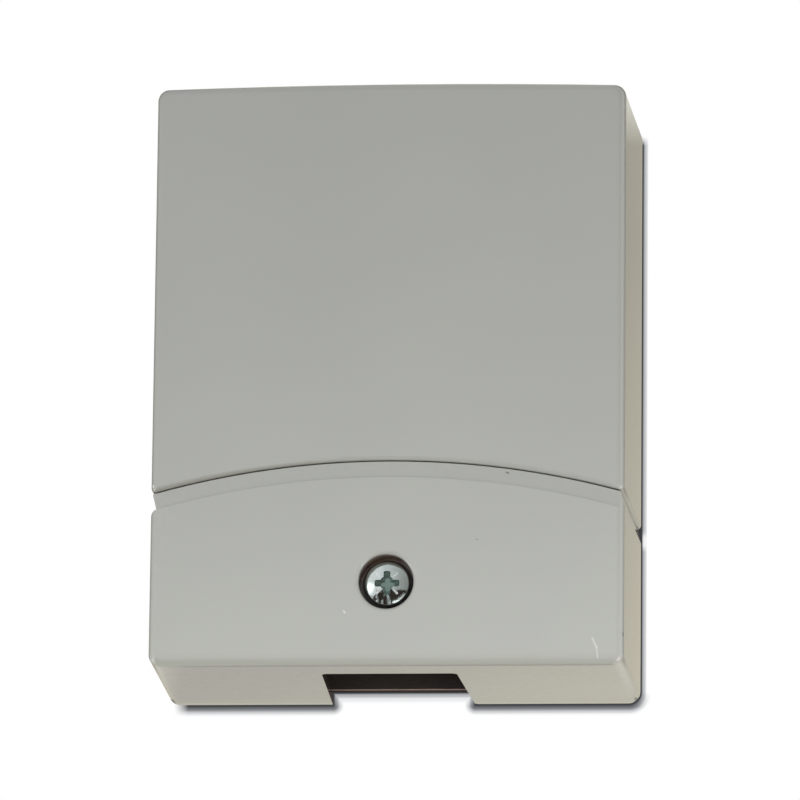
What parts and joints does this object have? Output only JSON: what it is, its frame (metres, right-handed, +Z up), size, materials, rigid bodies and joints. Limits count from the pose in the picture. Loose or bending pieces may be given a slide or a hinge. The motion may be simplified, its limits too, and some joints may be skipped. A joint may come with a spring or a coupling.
{
  "type": "seismic vibration detector",
  "caption": "Flat upright box with a fixed upper cover and a screwed lower cover that meet in a curved joint; senses vibration in the wall, safe or vault door it is screwed to.",
  "frame": {"origin": "centre of the base plate's back face, which lies on the guarded surface", "axes": "+Z up along the longest side, +X to the right seen from the front, +Y into the guarded surface; the front faces -Y"},
  "size_m": [0.08, 0.036, 0.1],
  "materials": {
    "cover_finish": "smooth glossy light grey enamel",
    "plate_finish": "dark coated casting",
    "plated_screw": "bright zinc plating",
    "zinc_steel": "zinc plated steel",
    "spring_steel": "bare spring wire",
    "turned_metal": "fine turned",
    "brass": "satin",
    "ceramic": "fired ceramic",
    "black_plastic": "moulded",
    "board_green": "solder mask",
    "terminal_plastic": "moulded",
    "relay_case": "moulded",
    "chip_black": "moulded epoxy",
    "capacitor_sleeve": "shrink sleeve",
    "led_red": "clear tinted",
    "link_blue": "moulded",
    "switch_body": "moulded",
    "wire_red": "insulation"
  },
  "bodies": {
    "housing": {"base_plate": "plate_finish", "upper_cover": "cover_finish", "lower_cover": "cover_finish", "cover_screw": "plated_screw", "captive_washer": "black_plastic", "cover_pillar": "brass", "upper_cover_screws": "zinc_steel", "circuit_board": "board_green", "board_screws": "zinc_steel", "sensor_cup": "turned_metal", "piezo_ring": "ceramic", "seismic_mass": "brass", "sensor_bolt": "zinc_steel", "sensor_cap": "black_plastic", "sensor_wires": "wire_red", "terminal_block_left": "terminal_plastic", "terminal_block_right": "terminal_plastic", "terminal_cages": "zinc_steel", "terminal_screws": "zinc_steel", "relay": "relay_case", "controller_chip": "chip_black", "amplifier_chip": "chip_black", "capacitors": "capacitor_sleeve", "crystal": "turned_metal", "surge_suppressors": "chip_black", "status_led": "led_red", "jumper_header": "black_plastic", "jumper_links": "link_blue", "cover_switch": "switch_body", "cover_spring": "spring_steel", "wall_spring": "spring_steel", "wall_cap": "black_plastic", "wall_switch": "switch_body", "cable_clamp": "black_plastic", "clamp_screws": "zinc_steel"},
    "cover_contact": {"cover_plunger": "black_plastic"},
    "wall_contact": {"wall_plunger": "black_plastic"}
  },
  "joints": [
    {"name": "cover_contact_slide", "type": "slide", "parent": "housing", "child": "cover_contact", "axis": [0, 1, 0], "range_m": [0, 0.0006], "stiffness_N_per_m": 150, "springref_m": -0.002, "deforming": ["cover_spring"]},
    {"name": "wall_contact_slide", "type": "slide", "parent": "housing", "child": "wall_contact", "axis": [0, 1, 0], "range_m": [0, 0.002], "stiffness_N_per_m": 200, "springref_m": 0.003, "deforming": ["wall_spring"]}
  ]
}
